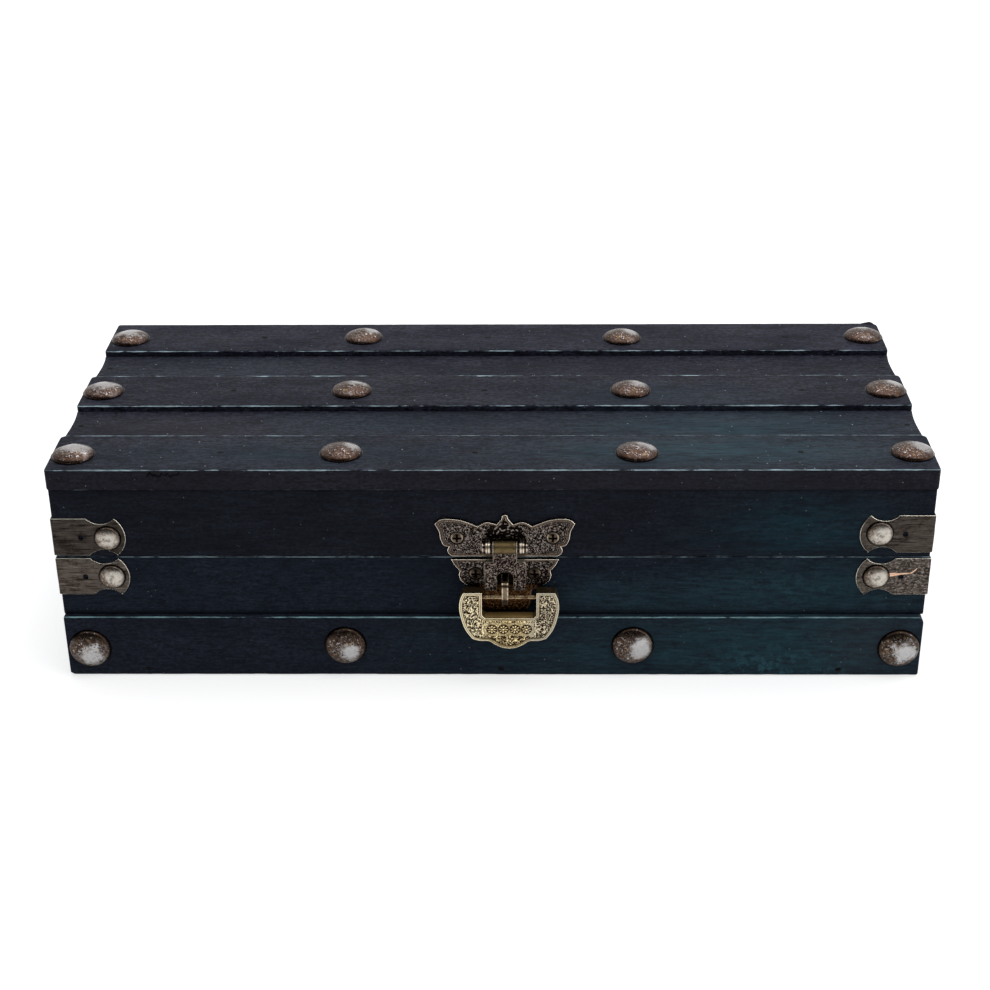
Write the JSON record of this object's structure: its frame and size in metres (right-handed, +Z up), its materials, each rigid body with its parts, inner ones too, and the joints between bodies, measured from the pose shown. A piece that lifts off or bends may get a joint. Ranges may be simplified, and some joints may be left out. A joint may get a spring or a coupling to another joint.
{
  "type": "wooden jewelry box",
  "caption": "Long low keepsake box of dark stained planks with a hinged lid, domed studs, corner straps, a butterfly hasp and an old-style padlock.",
  "frame": {"origin": "on the floor under the middle of the box", "axes": "X along the length to the viewer's right, Y from the front with the hasp to the back with the hinges, Z up"},
  "size_m": [0.244, 0.1116, 0.067],
  "materials": {
    "stained_wood": "dark blue-black stain, edges worn light",
    "teal_wood": "dark stain with a teal cast, edges worn light",
    "inner_wood": "plain dark stain",
    "stud_metal": "hammered, brown patina with bright highlights",
    "strap_metal": "dark brushed bronze plating, bright edges",
    "nail_metal": "worn nickel with brown patina",
    "hasp_metal": "dark red bronze, stippled, rim worn bright",
    "lock_metal": "old gold casting with dark recesses",
    "hinge_metal": "dark bronze",
    "steel": "plain"
  },
  "bodies": {
    "base": {"bottom_board": "inner_wood", "base_front_plank": "stained_wood", "base_front_band": "teal_wood", "base_back_plank": "stained_wood", "base_back_band": "teal_wood", "base_left_end": "stained_wood", "base_right_end": "stained_wood", "front_band_studs": "stud_metal", "base_left_strap": "strap_metal", "base_right_strap": "strap_metal", "base_strap_nails": "nail_metal", "lower_hasp_plate": "hasp_metal", "hasp_staple": "lock_metal", "lower_hasp_screws": "hasp_metal", "left_hinge_base_leaf": "hinge_metal", "right_hinge_base_leaf": "hinge_metal", "hinge_pins": "steel", "hinge_base_screws": "hinge_metal", "base_brads": "steel"},
    "lid": {"front_slat": "stained_wood", "front_sunk_plank": "teal_wood", "middle_slat": "stained_wood", "rear_sunk_plank": "stained_wood", "rear_slat": "stained_wood", "lid_front_rail": "stained_wood", "lid_back_rail": "stained_wood", "lid_left_end": "stained_wood", "lid_right_end": "stained_wood", "lid_battens": "inner_wood", "front_slat_studs": "stud_metal", "middle_slat_studs": "stud_metal", "rear_slat_studs": "stud_metal", "lid_left_strap": "strap_metal", "lid_right_strap": "strap_metal", "lid_strap_nails": "nail_metal", "upper_hasp_plate": "hasp_metal", "upper_hasp_screws": "hasp_metal", "hasp_pin": "hasp_metal", "left_hinge_lid_leaf": "hinge_metal", "right_hinge_lid_leaf": "hinge_metal", "hinge_lid_screws": "hinge_metal", "lid_brads": "steel"},
    "hasp": {"hasp_tongue": "hasp_metal"},
    "padlock": {"lock_body": "lock_metal", "lock_back_plate": "lock_metal"},
    "bolt": {"lock_bolt": "lock_metal", "lock_springs": "steel"}
  },
  "joints": [
    {"name": "lid_hinge", "type": "hinge", "parent": "base", "child": "lid", "pos_m": [0, 0.05275, 0.03757], "axis": [-1, 0, 0], "range_deg": [0, 170]},
    {"name": "hasp_hinge", "type": "hinge", "parent": "lid", "child": "hasp", "pos_m": [0.0037, -0.0537, 0.042], "axis": [-1, 0, 0], "range_deg": [0, 170]},
    {"name": "lock_swing", "type": "hinge", "parent": "base", "child": "padlock", "pos_m": [0.0048, -0.0552, 0.02725], "axis": [-1, 0, 0], "range_deg": [-2.5, 75]},
    {"name": "bolt_slide", "type": "slide", "parent": "padlock", "child": "bolt", "axis": [1, 0, 0], "range_m": [0, 0.018]}
  ]
}
